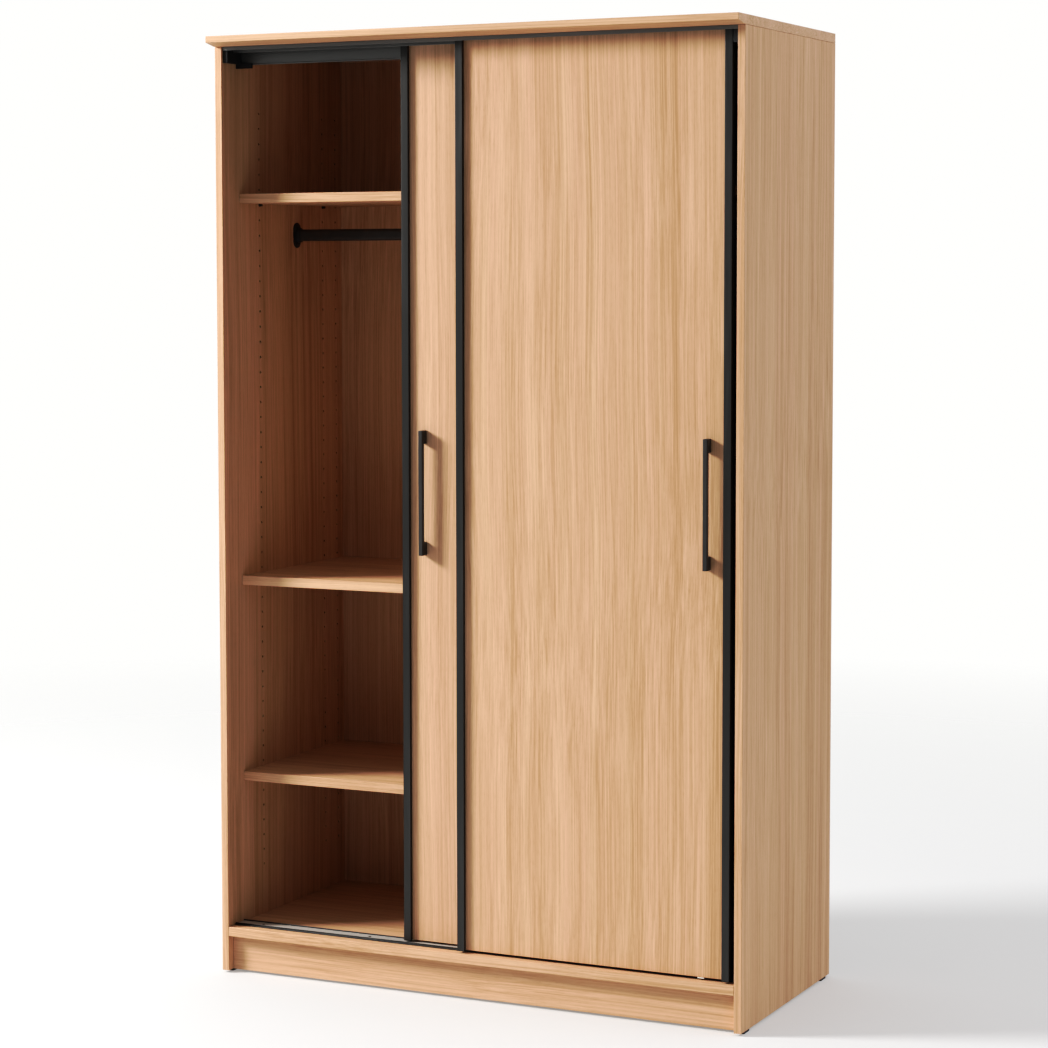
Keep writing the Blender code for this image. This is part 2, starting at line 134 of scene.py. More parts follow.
class Sheet:
    """One node tree, written as expressions."""

    def __init__(self, owner: bpy.types.Material | bpy.types.World, shader: str) -> None:
        """Opens the owner's node tree.

        Args:
            owner: The material or world.
            shader: The name of the node that its surface comes from.
        """
        owner.use_nodes = True
        self.material = owner
        self.tree = owner.node_tree
        self.shader = self.tree.nodes[shader]

    @classmethod
    def of_material(cls, name: str) -> "Sheet":
        """A new material's sheet."""
        return cls(bpy.data.materials.new(name), "Principled BSDF")

    def add(self, kind: str, settings: dict, inputs: dict) -> bpy.types.Node:
        """Adds a node.

        Args:
            kind: The node's type.
            settings: Properties, set first.
            inputs: Values or links, by socket name or number.

        Returns:
            The new node.
        """
        node = self.tree.nodes.new(kind)
        for key, value in settings.items():
            setattr(node, key, value)
        for key, value in inputs.items():
            self.feed(node.inputs[key], value)
        return node

    def feed(self, socket: bpy.types.NodeSocket, value: object) -> None:
        """Links a value to a socket, or sets the socket to a constant."""
        if isinstance(value, Value):
            self.tree.links.new(value.socket, socket)
        elif isinstance(value, tuple) and len(value) == 3 and socket.type == "RGBA":
            socket.default_value = (*value, 1.0)
        else:
            socket.default_value = value

    def math(self, operation: str, a: "Value | float", b: "Value | float") -> Value:
        """One Math node on two values."""
        node = self.add("ShaderNodeMath", {"operation": operation}, {0: a, 1: b})
        return Value(self, node.outputs[0])

    def vector(self, operation: str, a: object, b: object) -> Value:
        """One Vector Math node on two vectors."""
        node = self.add("ShaderNodeVectorMath", {"operation": operation}, {0: a, 1: b})
        return Value(self, node.outputs[0])

    def place(self, shift: Colour = (0.0, 0.0, 0.0)) -> Value:
        """The point on the piece, moved by a shift that sets one board's pattern apart."""
        point = self.add("ShaderNodeTexCoord", {}, {})
        return self.vector("ADD", Value(self, point.outputs["Object"]), shift)

    def noise(
        self, point: Value, scale: Colour, detail: float = 2.0, rough: float = 0.5
    ) -> Value:
        """Smooth noise from 0 to 1.

        Args:
            point: Where to read it.
            scale: Cells per metre along each axis.
            detail: Octaves of finer noise.
            rough: Strength of the finer octaves.

        Returns:
            The noise's value.
        """
        scaled = self.vector("MULTIPLY", point, scale)
        inputs = {"Vector": scaled, "Scale": 1.0, "Detail": detail, "Roughness": rough}
        node = self.add("ShaderNodeTexNoise", {}, inputs)
        return Value(self, node.outputs[0])

    def drift(self, point: Value, scale: Colour, amount: Colour) -> Value:
        """A point pushed about by slow noise, at most half of amount along each axis."""
        scaled = self.vector("MULTIPLY", point, scale)
        inputs = {"Vector": scaled, "Scale": 1.0, "Detail": 1.0}
        node = self.add("ShaderNodeTexNoise", {}, inputs)
        centred = self.vector("SUBTRACT", Value(self, node.outputs[1]), (0.5, 0.5, 0.5))
        return self.vector("ADD", point, self.vector("MULTIPLY", centred, amount))

    def spread(self, value: Value, low: float, high: float) -> Value:
        """A value stretched so that low to high covers 0 to 1."""
        inputs = {0: value, 1: low, 2: high}
        node = self.add("ShaderNodeMapRange", {"clamp": True}, inputs)
        return Value(self, node.outputs[0])

    def mix(self, factor: "Value | float", a: object, b: object) -> Value:
        """Colours a and b mixed by a factor."""
        node = self.add("ShaderNodeMix", {"data_type": "RGBA"}, {0: factor, 6: a, 7: b})
        return Value(self, node.outputs[2])

    def bump(self, height: Value, strength: float, depth: float) -> None:
        """Raises the surface by a height from 0 to 1."""
        inputs = {"Height": height, "Strength": strength, "Distance": depth}
        node = self.add("ShaderNodeBump", {}, inputs)
        self.feed(self.shader.inputs["Normal"], Value(self, node.outputs[0]))

    def surface(self, **inputs: object) -> None:
        """Sets the shader's sockets, with spaces in their names written as underscores."""
        for name, value in inputs.items():
            self.feed(self.shader.inputs[name.replace("_", " ")], value)


def along(grain: Axis, across: float, lengthwise: float) -> Colour:
    """Noise cells per metre across and along the grain."""
    scale = [across, across, across]
    scale[grain.value] = lengthwise
    return tuple(scale)


# ---------------------------------------------------------------- finishes


@dataclass(frozen=True)
class Oak:
    """Light oak decor with long, fine, straight grain in soft bands.

    The cells of a layer are counted per metre, across and along the grain.
    """

    name: str
    grain: Axis = Axis.Z
    shift: Colour = (0.0, 0.0, 0.0)
    pale: Colour = (0.745, 0.500, 0.325)
    pink: Colour = (0.735, 0.470, 0.318)
    tan: Colour = (0.445, 0.255, 0.142)
    banding: float = 0.12
    roughness: float = 0.50
    sheen: float = 0.32
    strength: float = 0.20
    sway: float = 0.05
    sway_cells: Cells = (1.6, 0.9)
    bend: float = 0.006
    bend_cells: Cells = (9.0, 2.2)
    band_cells: Cells = (14, 0.3)
    hue_cells: Cells = (26, 0.4)
    group_cells: Cells = (17, 0.35)
    strand_cells: Cells = (85, 0.35)
    line_cells: Cells = (320, 0.55)
    fleck_cells: Cells = (800, 18)
    pore_cells: Cells = (2100, 55)

    def build(self) -> bpy.types.Material:
        """The decor's material."""
        sheet = Sheet.of_material(self.name)
        point = sheet.place(self.shift)
        grain = self.grain
        swayed = sheet.drift(point, along(grain, *self.sway_cells), along(grain, self.sway, 0.0))
        bent = sheet.drift(swayed, along(grain, *self.bend_cells), along(grain, self.bend, 0.0))
        bands = self.layer(sheet, bent, self.band_cells)
        hue = self.layer(sheet, bent, self.hue_cells)
        groups = self.layer(sheet, bent, self.group_cells)
        strands = self.layer(sheet, bent, self.strand_cells)
        lines = self.layer(sheet, bent, self.line_cells)
        dashes = sheet.noise(bent, along(grain, *self.fleck_cells), 1.0)
        flecks = sheet.spread(dashes, 0.48, 0.76)
        dots = sheet.noise(bent, along(grain, *self.pore_cells), 1.0)
        pores = sheet.spread(dots, 0.56, 0.68)
        streaks = strands * (0.14 + groups * 0.26) + lines * (0.40 + groups * 0.18)
        depth = bands * self.banding + streaks + flecks * 0.16 + pores * 0.20
        base = sheet.mix(hue, self.pale, self.pink)
        colour = sheet.mix(depth, base, self.tan)
        sheet.surface(
            Base_Color=colour,
            Roughness=self.roughness + lines * 0.08 + pores * 0.08,
            Specular_IOR_Level=self.sheen,
        )
        sheet.bump(1.0 - (lines * 0.5 + pores * 0.5), self.strength, 0.0003)
        return sheet.material

    def layer(self, sheet: Sheet, point: Value, cells: Cells) -> Value:
        """Two octaves of streaks along the grain, from 0 to 1."""
        streaks = sheet.noise(point, along(self.grain, *cells), 1.0, 0.9)
        return sheet.spread(streaks, 0.30, 0.70)


@dataclass(frozen=True)
class Hardboard:
    """Brown hardboard, as on the outside of a back panel."""

    name: str = "hardboard"
    fibre: Colour = (0.300, 0.185, 0.100)
    dark: Colour = (0.150, 0.086, 0.043)

    def build(self) -> bpy.types.Material:
        """The hardboard's material, with fibres and the press screen's mesh."""
        sheet = Sheet.of_material(self.name)
        point = sheet.place()
        fibres = sheet.noise(point, (210, 210, 150), 4.0, 0.70)
        clouds = sheet.noise(point, (7, 7, 7), 3.0)
        screen = sheet.noise(point, (1500, 300, 1500), 1.0)
        shade = sheet.spread(fibres * 0.78 + clouds * 0.22, 0.36, 0.64)
        colour = sheet.mix(shade, self.dark, self.fibre)
        sheet.surface(Base_Color=colour, Roughness=0.62 + fibres * 0.2)
        sheet.bump(fibres * 0.4 + screen * 0.6, 0.35, 0.0004)
        return sheet.material


@dataclass(frozen=True)
class Chipboard:
    """Raw sawn chipboard, as on edges without a band."""

    name: str = "chipboard"
    chip: Colour = (0.52, 0.36, 0.20)
    glue: Colour = (0.22, 0.125, 0.060)

    def build(self) -> bpy.types.Material:
        """The chipboard's material, with chips of many tones."""
        sheet = Sheet.of_material(self.name)
        point = sheet.place()
        chips = sheet.noise(point, (420, 420, 300), 3.0, 0.7)
        flecks = sheet.noise(point, (1300, 1300, 900), 2.0, 0.7)
        tone = sheet.spread(chips * 0.65 + flecks * 0.35, 0.38, 0.62)
        colour = sheet.mix(tone, self.glue, self.chip)
        sheet.surface(Base_Color=colour, Roughness=0.78)
        sheet.bump(flecks * 0.5 + chips * 0.5, 0.6, 0.0005)
        return sheet.material


@dataclass(frozen=True)
class Anodised:
    """Anodised aluminium, drawn along its length."""

    name: str
    drawn: Axis
    tone: Colour = (0.066, 0.065, 0.063)
    worn: Colour = (0.095, 0.094, 0.091)
    roughness: float = 0.36
    metallic: float = 0.85

    def build(self) -> bpy.types.Material:
        """The metal's material, with draw lines and a little rubbing."""
        sheet = Sheet.of_material(self.name)
        point = sheet.place()
        draws = sheet.noise(point, along(self.drawn, 1700, 5), 2.0, 0.6)
        rubs = sheet.spread(sheet.noise(point, along(self.drawn, 60, 3.2), 4.0, 0.7), 0.48, 0.80)
        colour = sheet.mix(rubs * 0.7 + draws * 0.2, self.tone, self.worn)
        rough = self.roughness + draws * 0.10 + rubs * 0.08
        sheet.surface(Base_Color=colour, Roughness=rough, Metallic=self.metallic)
        sheet.bump(draws, 0.12, 0.0001)
        return sheet.material


@dataclass(frozen=True)
class PowderCoat:
    """Black powder coat with a fine orange-peel skin."""

    name: str = "powder_coat"
    tone: Colour = (0.038, 0.035, 0.033)
    rubbed: Colour = (0.060, 0.056, 0.053)
    roughness: float = 0.40

    def build(self) -> bpy.types.Material:
        """The coat's material, smoother where hands rub it."""
        sheet = Sheet.of_material(self.name)
        point = sheet.place()
        skin = sheet.noise(point, (950, 950, 950), 2.0, 0.55)
        hands = sheet.spread(sheet.noise(point, (55, 55, 30), 3.0), 0.40, 0.75)
        colour = sheet.mix(hands * 0.6, self.tone, self.rubbed)
        sheet.surface(Base_Color=colour, Roughness=self.roughness + skin * 0.12 - hands * 0.06)
        sheet.bump(skin, 0.22, 0.0002)
        return sheet.material


@dataclass(frozen=True)
class Moulded:
    """Moulded plastic with a spark-eroded grain."""

    name: str
    tone: Colour = (0.018, 0.018, 0.019)
    roughness: float = 0.46
    grain: float = 0.30
    translucence: float = 0.0

    def build(self) -> bpy.types.Material:
        """The plastic's material, a little mottled."""
        sheet = Sheet.of_material(self.name)
        point = sheet.place()
        texture = sheet.noise(point, (1900, 1900, 1900), 2.0, 0.6)
        flow = sheet.noise(point, (70, 70, 70), 2.0)
        lighter = tuple(min(1.0, channel * 1.35) for channel in self.tone)
        colour = sheet.mix(flow, self.tone, lighter)
        sheet.surface(
            Base_Color=colour,
            Roughness=self.roughness + texture * 0.14,
            Subsurface_Weight=self.translucence,
        )
        sheet.bump(texture, self.grain, 0.0001)
        return sheet.material


@dataclass(frozen=True)
class Steel:
    """Small steel parts, plated or burnished."""

    name: str
    tone: Colour
    roughness: float = 0.32

    def build(self) -> bpy.types.Material:
        """The steel's material, with turning marks and dull spots."""
        sheet = Sheet.of_material(self.name)
        point = sheet.place()
        marks = sheet.noise(point, (1600, 1600, 1600), 3.0, 0.7)
        spots = sheet.spread(sheet.noise(point, (240, 240, 240), 2.0), 0.40, 0.70)
        duller = tuple(channel * 0.55 for channel in self.tone)
        colour = sheet.mix(spots * 0.6, self.tone, duller)
        rough = self.roughness + spots * 0.15 + marks * 0.08
        sheet.surface(Base_Color=colour, Roughness=rough, Metallic=1.0)
        sheet.bump(marks, 0.15, 0.0001)
        return sheet.material


@dataclass(frozen=True)
class Ground:
    """Pale, faintly glowing studio floor that fades into the backdrop."""

    name: str = "studio_floor"
    tone: Colour = (0.50, 0.50, 0.498)
    glow: float = 0.27
    solid: float = 1.6
    gone: float = 5.2

    def build(self) -> bpy.types.Material:
        """The floor's material, clear beyond its outer radius."""
        sheet = Sheet.of_material(self.name)
        point = sheet.place()
        length = sheet.add("ShaderNodeVectorMath", {"operation": "LENGTH"}, {0: point})
        distance = Value(sheet, length.outputs[1])
        dust = sheet.noise(point, (3.0, 3.0, 3.0), 3.0)
        duller = tuple(channel * 0.99 for channel in self.tone)
        colour = sheet.mix(dust, self.tone, duller)
        solid = 1.0 - sheet.spread(distance, self.solid, self.gone)
        sheet.surface(
            Base_Color=colour,
            Roughness=0.75 + dust * 0.1,
            Specular_IOR_Level=0.1,
            Emission_Color=colour,
            Emission_Strength=self.glow / self.tone[0],
            Alpha=solid,
        )
        return sheet.material


class Finishes:
    """Every material by name, built when it is first asked for."""

    def __init__(self) -> None:
        """Starts with no material built."""
        self.built: dict[str, bpy.types.Material] = {}

    def get(self, finish: object) -> bpy.types.Material:
        """The material of a finish."""
        if finish.name not in self.built:
            self.built[finish.name] = finish.build()
        return self.built[finish.name]


CHIPBOARD = Chipboard()
HARDBOARD = Hardboard()
POWDER_COAT = PowderCoat()
BLACK_PLASTIC = Moulded("black_moulding")
NYLON = Moulded(
    "white_nylon", tone=(0.74, 0.74, 0.70), roughness=0.38, grain=0.12, translucence=0.08
)
DARK_STEEL = Steel("burnished_steel", tone=(0.115, 0.105, 0.095), roughness=0.34)
ZINC = Steel("zinc_plate", tone=(0.56, 0.57, 0.58), roughness=0.28)
DRAWN_UPRIGHT = Anodised("black_anodised_upright", Axis.Z)
TRACK_RIBS = Anodised("black_anodised_ribs", Axis.X)
# Black anodised made several times paler than its ribs and stiles: the grey tone is a painted
# reflection of the sky on the top track.
TRACK_PAINTED_REFLECTION = Anodised(
    "black_anodised_painted_reflection", Axis.X, tone=(0.22, 0.219, 0.214), worn=(0.28, 0.279, 0.272)
)
TRACK_BED = Anodised(
    "track_bed",
    Axis.X,
    tone=(0.50, 0.47, 0.43),
    worn=(0.60, 0.57, 0.53),
    roughness=0.42,
    metallic=0.25,
)


# ---------------------------------------------------------------- modelling


class Shape:
    """A solid being modelled."""

    spare_slots = 4

    def __init__(self) -> None:
        """Starts with an empty mesh."""
        self.bm = bmesh.new()

    @classmethod
    def block(cls, low: Sequence[float], high: Sequence[float]) -> "Shape":
        """A block between two corners."""
        shape = cls()
        bmesh.ops.create_cube(shape.bm, size=1)
        low, high = Vector(low), Vector(high)
        bmesh.ops.scale(shape.bm, verts=shape.bm.verts, vec=high - low)
        bmesh.ops.translate(shape.bm, verts=shape.bm.verts, vec=(low + high) / 2)
        return shape

    @classmethod
    def prism(cls, outline: Outline, axis: Axis, start: float, end: float) -> "Shape":
        """An outline drawn across an axis, carried from start to end along it.

        Args:
            outline: Points in the two other coordinates, in X, Y, Z order.
            axis: The axis that the outline is carried along.
            start: Where it starts.
            end: Where it ends.

        Returns:
            The closed solid.
        """
        shape = cls()
        corners = []
        for a, b in outline:
            point = [a, b]
            point.insert(axis.value, start)
            corners.append(shape.bm.verts.new(point))
        face = shape.bm.faces.new(corners)
        grown = bmesh.ops.extrude_face_region(shape.bm, geom=[face])
        moved = [item for item in grown["geom"] if isinstance(item, bmesh.types.BMVert)]
        step = [0.0, 0.0, 0.0]
        step[axis.value] = end - start
        bmesh.ops.translate(shape.bm, verts=moved, vec=step)
        shape.face_out()
        return shape

    @classmethod
    def turned(cls, profile: Outline, axis: Axis, centre: Vector, steps: int = 32) -> "Shape":
        """A profile of radius and distance along an axis, turned about it.

        Args:
            profile: Points from the axis or a bore outwards and back.
            axis: The axis to turn about.
            centre: Where the distance along the axis is 0.
            steps: Faces round.

        Returns:
            The closed solid.
        """
        shape = cls()
        verts = [shape.bm.verts.new((radius, 0.0, reach)) for radius, reach in profile]
        edges = [shape.bm.edges.new(pair) for pair in zip(verts, verts[1:])]
        if profile[0][0] > 0:
            edges.append(shape.bm.edges.new((verts[-1], verts[0])))
        bmesh.ops.spin(
            shape.bm,
            geom=verts + edges,
            cent=(0, 0, 0),
            axis=(0, 0, 1),
            angle=2 * math.pi,
            steps=steps,
            use_merge=True,
            use_duplicate=False,
        )
        bmesh.ops.remove_doubles(shape.bm, verts=shape.bm.verts, dist=1e-6)
        turns = {Axis.X: (0, math.pi / 2, 0), Axis.Y: (-math.pi / 2, 0, 0), Axis.Z: (0, 0, 0)}
        turn = Matrix.Translation(centre) @ Euler(turns[axis]).to_matrix().to_4x4()
        bmesh.ops.transform(shape.bm, matrix=turn, verts=shape.bm.verts)
        shape.face_out()
        shape.smooth()
        return shape

    def face_out(self) -> None:
        """Turns every face outwards."""
        bmesh.ops.recalc_face_normals(self.bm, faces=self.bm.faces)

    def smooth(self, limit: float = 0.6) -> "Shape":
        """Shades the solid smooth, with edges sharper than a limit left crisp."""
        for face in self.bm.faces:
            face.smooth = True
        for edge in self.bm.edges:
            edge.smooth = edge.is_manifold and edge.calc_face_angle() < limit
        return self

    def soften(self, radius: float, segments: int = 2, limit: float = 0.5) -> "Shape":
        """Rounds every edge that turns by more than a limit.

        Args:
            radius: Width of the round.
            segments: Faces across it.
            limit: Smallest turn, in radians.

        Returns:
            This shape.
        """
        edges = [e for e in self.bm.edges if e.is_manifold and e.calc_face_angle() > limit]
        made = bmesh.ops.bevel(
            self.bm,
            geom=edges,
            offset=radius,
            offset_type="OFFSET",
            affect="EDGES",
            segments=segments,
            profile=0.5,
            material=-1,
            clamp_overlap=True,
        )
        for face in made["faces"]:
            face.smooth = True
        return self

    def slice(self, point: Vector, normal: Vector) -> None:
        """Cuts new edges where a plane crosses the solid."""
        geometry = [*self.bm.verts, *self.bm.edges, *self.bm.faces]
        bmesh.ops.bisect_plane(self.bm, geom=geometry, plane_co=point, plane_no=normal, dist=1e-7)

    def paint(self, rule: Callable[[bmesh.types.BMFace], int]) -> "Shape":
        """Gives each face the finish number that a rule says."""
        for face in self.bm.faces:
            face.material_index = rule(face)
        return self

    def paint_all(self, number: int) -> "Shape":
        """Gives every face one finish number."""
        return self.paint(lambda face: number)

    def add(self, other: "Shape") -> "Shape":
        """Takes in another closed solid that stays its own shell."""
        mesh = bpy.data.meshes.new("loose")
        other.bm.to_mesh(mesh)
        other.bm.free()
        self.bm.from_mesh(mesh)
        bpy.data.meshes.remove(mesh)
        return self

    def loose_object(self, name: str) -> bpy.types.Object:
        """An object of this shape for a Boolean, with slots that keep its finish numbers."""
        mesh = bpy.data.meshes.new(name)
        self.bm.to_mesh(mesh)
        for _ in range(self.spare_slots):
            mesh.materials.append(None)
        made = bpy.data.objects.new(name, mesh)
        bpy.context.scene.collection.objects.link(made)
        return made

    def join(self, tool: "Shape", how: Join) -> "Shape":
        """Cuts another solid out of this one, or welds it on.

        Args:
            tool: The other solid, used up.
            how: Cut or weld.

        Returns:
            This shape.
        """
        body, cutter = self.loose_object("body"), tool.loose_object("tool")
        modifier = body.modifiers.new("join", "BOOLEAN")
        modifier.object = cutter
        modifier.operation = how.value
        modifier.solver = "EXACT"
        graph = bpy.context.evaluated_depsgraph_get()
        mesh = bpy.data.meshes.new_from_object(body.evaluated_get(graph), depsgraph=graph)
        self.bm.clear()
        self.bm.from_mesh(mesh)
        tool.bm.free()
        old = [body.data, cutter.data, mesh]
        for made in (body, cutter):
            bpy.data.objects.remove(made, do_unlink=True)
        for data in old:
            bpy.data.meshes.remove(data)
        return self


def stadium(width: float, height: float, centre: tuple[float, float], steps: int = 14) -> Outline:
    """An upright outline with round ends.

    Args:
        width: Across.
        height: Tall.
        centre: Its middle.
        steps: Faces round each end.

    Returns:
        The outline's points.
    """
    radius = width / 2
    straight = height / 2 - radius
    points = []
    for end, first in ((1, 0.0), (-1, math.pi)):
        for step in range(steps + 1):
            angle = first + math.pi * step / steps
            across = centre[0] + radius * math.cos(angle)
            points.append((across, centre[1] + end * straight + radius * math.sin(angle)))
    return points


def facing(face: bmesh.types.BMFace, side: Side) -> bool:
    """True if a face looks towards a side."""
    return face.normal.dot(Vector(side.value)) > 0.9


def centre_of(node: str) -> Vector:
    """The middle of a node's box."""
    low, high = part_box(node)
    return (low + high) / 2


# Radius and height of a pan head's outline, as shares of the whole.
PAN_HEAD = (
    (0.0, -0.2),
    (1.0, -0.2),
    (1.0, 0.45),
    (0.78, 1.0),
    (0.42, 1.0),
    (0.34, 0.2),
    (0.0, 0.2),
)
HEAD_STEPS = 14


def screw_head(
    centre: Vector, side: Side, radius: float = 0.0035, height: float = 0.0013
) -> Shape:
    """A low pan head with a round recess.

    Args:
        centre: Middle of the face that it sits on.
        side: The way that the head looks.
        radius: Its radius.
        height: How far it stands up.

    Returns:
        The head.
    """
    axis = next(item for item in Axis if side.value[item.value])
    out = side.value[axis.value]
    profile = [(across * radius, out * tall * height) for across, tall in PAN_HEAD]
    return Shape.turned(profile, axis, centre, HEAD_STEPS)


# ---------------------------------------------------------------- assemblies


@dataclass
class Assembly:
    """A group of pieces made and dressed together."""

    finishes: Finishes

    def publish(
        self,
        name: str,
        shape: Shape,
        finishes: Iterable[object],
        slot: str,
        body: str = CARCASS,
        stands_for: bool = True,
    ) -> bpy.types.Object:
        """Turns a shape into a finished piece on its body.

        Args:
            name: The piece's name; a piece that stands for a node is named after it.
            shape: The solid, used up.
            finishes: Its finishes, in the order of the faces' numbers.
            slot: The record's material slot; not used.
            body: The body that it rides on.
            stands_for: True if it replaces the node of its name.

        Returns:
            The new object.
        """
        mesh = bpy.data.meshes.new(name)
        shape.bm.to_mesh(mesh)
        shape.bm.free()
        for finish in finishes:
            mesh.materials.append(self.finishes.get(finish))
        label = f"{name}_finished" if stands_for else name
        piece = bpy.data.objects.new(label, mesh)
        bpy.context.scene.collection.objects.link(piece)
        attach(piece, body)
        if stands_for:
            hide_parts(name)
        log.info("%s: %d faces on %s", label, len(mesh.polygons), body)
        return piece


@dataclass
class Board:
    """A decor-faced board with bands on its showing edges and raw ones elsewhere."""

    node: str
    oak: Oak
    banded: tuple[Side, ...] = ()
    raw: tuple[Side, ...] = ()
    radius: float = 0.0007
    band: float = 0.0010

    def shape(self, outline: Outline | None = None) -> Shape:
        """The board's solid, with finish 0 on faces, 1 on bands and 2 on raw edges.

        Args:
            outline: A section across X, where the board isn't a plain block.

        Returns:
            The solid.
        """
        low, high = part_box(self.node)
        if outline:
            solid = Shape.prism(outline, Axis.X, low.x, high.x)
        else:
            solid = Shape.block(low, high)
        solid.soften(self.radius)
        planes = []
        for side in self.banded:
            normal = Vector(side.value)
            edge = max(normal.dot(low), normal.dot(high))
            solid.slice(normal * (edge - self.band), normal)
            planes.append((normal, edge - self.band))
        return solid.paint(lambda face: self.number(face, planes))

    def number(self, face: bmesh.types.BMFace, planes: list[tuple[Vector, float]]) -> int:
        """The finish number of a face: decor, band or raw."""
        centre = face.calc_center_median()
        if any(normal.dot(centre) > reach for normal, reach in planes):
            return 1
        return 2 if any(facing(face, side) for side in self.raw) else 0

    def finishes(self) -> tuple[object, ...]:
        """Decor, band and raw finishes; the band is a slightly plainer cut of the decor."""
        band = Oak(
            f"{self.oak.name}_band",
            self.oak.grain,
            tuple(-s for s in self.oak.shift),
            roughness=0.36,
            strength=0.12,
        )
        return self.oak, band, CHIPBOARD


@dataclass
class ShelfHoles:
    """Rows of shelf-pin holes, at the pitch that the two pin heights set."""

    radius: float = 0.0027
    depth: float = 0.0075
    rear_row: float = 0.029
    below: int = 6
    above: int = 6
    span: int = 38
    steps: int = 12

    def rows(self) -> list[float]:
        """The rows' places along Y."""
        front = centre_of("shelf_pin_upper_outer_left_front").y
        middle = centre_of("shelf_pin_upper_outer_left_rear").y
        return [front, middle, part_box("back_panel_left")[0].y - self.rear_row]

    def heights(self) -> list[float]:
        """The holes' heights."""
        low = centre_of("shelf_pin_lower_outer_left_front").z
        pitch = (centre_of("shelf_pin_upper_outer_left_front").z - low) / self.span
        return [low + pitch * n for n in range(-self.below, self.span + self.above + 1)]

    def cutters(self, face_x: float, inward: float) -> Shape:
        """Pegs that cut the holes into an upright's face.

        Args:
            face_x: Where the face is.
            inward: 1 or -1, the way into the board.

        Returns:
            The pegs, raw on every face.
        """
        pegs = Shape()
        turn = Euler((0, math.pi / 2, 0)).to_matrix().to_4x4()
        for y in self.rows():
            for z in self.heights():
                middle = face_x + inward * (self.depth - GAP) / 2
                bmesh.ops.create_cone(
                    pegs.bm,
                    cap_ends=True,
                    segments=self.steps,
                    radius1=self.radius,
                    radius2=self.radius,
                    depth=self.depth + GAP,
                    matrix=Matrix.Translation((middle, y, z)) @ turn,
                )
        return pegs.paint_all(2)


@dataclass
class Uprights(Assembly):
    """Side panels and centre divider."""

    holes: ShelfHoles = field(default_factory=ShelfHoles)
    groove_depth: float = 0.006

    def make(self) -> None:
        """Makes the three uprights with their rows of holes."""
        self.make_side("left", -1, (0.31, 1.7, 2.2))
        self.make_side("right", 1, (5.3, 3.1, 0.4))
        oak = Oak("oak_divider", Axis.Z, (9.2, 4.4, 1.3))
        board = Board("centre_divider", oak, (Side.FRONT,), (Side.REAR,))
        low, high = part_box(board.node)
        solid = board.shape()
        solid.join(self.holes.cutters(low.x, 1), Join.CUT)
        solid.join(self.holes.cutters(high.x, -1), Join.CUT)
        self.publish(board.node, solid, board.finishes(), "oak_carcass")

    def make_side(self, side: str, out: int, shift: Colour) -> None:
        """Makes a side panel, with holes and the back's groove in its inner face.

        Args:
            side: left or right.
            out: 1 on the right, otherwise -1.
            shift: Moves its grain.
        """
        node = f"side_panel_{side}"
        oak = Oak(f"oak_{node}", Axis.Z, shift)
        board = Board(node, oak, (Side.FRONT,), (Side.REAR, Side.BOTTOM))
        solid = board.shape()
        low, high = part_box(node)
        inner = high.x if out < 0 else low.x
        solid.join(self.holes.cutters(inner, out), Join.CUT)
        solid.join(self.groove(inner, out), Join.CUT)
        self.publish(node, solid, board.finishes(), "oak_carcass")

    def groove(self, face_x: float, out: float) -> Shape:
        """The slot that the back panel stands in, down an upright's whole height."""
        back_low, back_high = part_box("back_panel_left")
        across = sorted((face_x - out * GAP, face_x + out * self.groove_depth))
        low = (across[0], back_low.y - GAP, 0.0)
        high = (across[1], back_high.y + GAP, CAD_BOX[1].z)
        return Shape.block(low, high).paint_all(2)


@dataclass
class LevelBoards(Assembly):
    """Top and bottom boards, plinths and shelves."""

    edge_height: float = 0.0135
    bevel_depth: float = 0.034

    def make(self) -> None:
        """Makes every level board."""
        self.make_top()
        shifts = {
            "bottom_board": (3.3, 0.9, 7.1),
            "plinth_front": (6.1, 2.4, 3.6),
            "plinth_rear": (1.4, 8.2, 5.0),
            "shelf_upper_left": (2.7, 5.5, 9.3),
            "shelf_middle_left": (7.9, 6.6, 2.8),
            "shelf_lower_left": (4.8, 1.2, 6.7),
            "shelf_upper_right": (8.6, 7.3, 4.5),
        }
        for node, shift in shifts.items():
            plinth = node.startswith("plinth")
            banded = () if plinth else (Side.FRONT,)
            raw = (Side.BOTTOM if plinth else Side.REAR, Side.LEFT, Side.RIGHT)
            board = Board(node, Oak(f"oak_{node}", Axis.X, shift), banded, raw)
            slot = "oak_shelf" if node.startswith("shelf") else "oak_carcass"
            self.publish(node, board.shape(), board.finishes(), slot)

    def make_top(self) -> None:
        """Makes the top board, whose front edge is bevelled underneath."""
        low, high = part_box("top_board")
        outline = [
            (low.y, high.z - self.edge_height),
            (low.y + self.bevel_depth, low.z),
            (high.y, low.z),
            (high.y, high.z),
            (low.y, high.z),
        ]
        oak = Oak("oak_top_board", Axis.X, (0.6, 3.7, 8.8))
        board = Board("top_board", oak, (Side.FRONT, Side.LEFT, Side.RIGHT), (Side.REAR,))
        solid = board.shape(outline)
        self.publish("top_board", solid, board.finishes(), "oak_carcass")


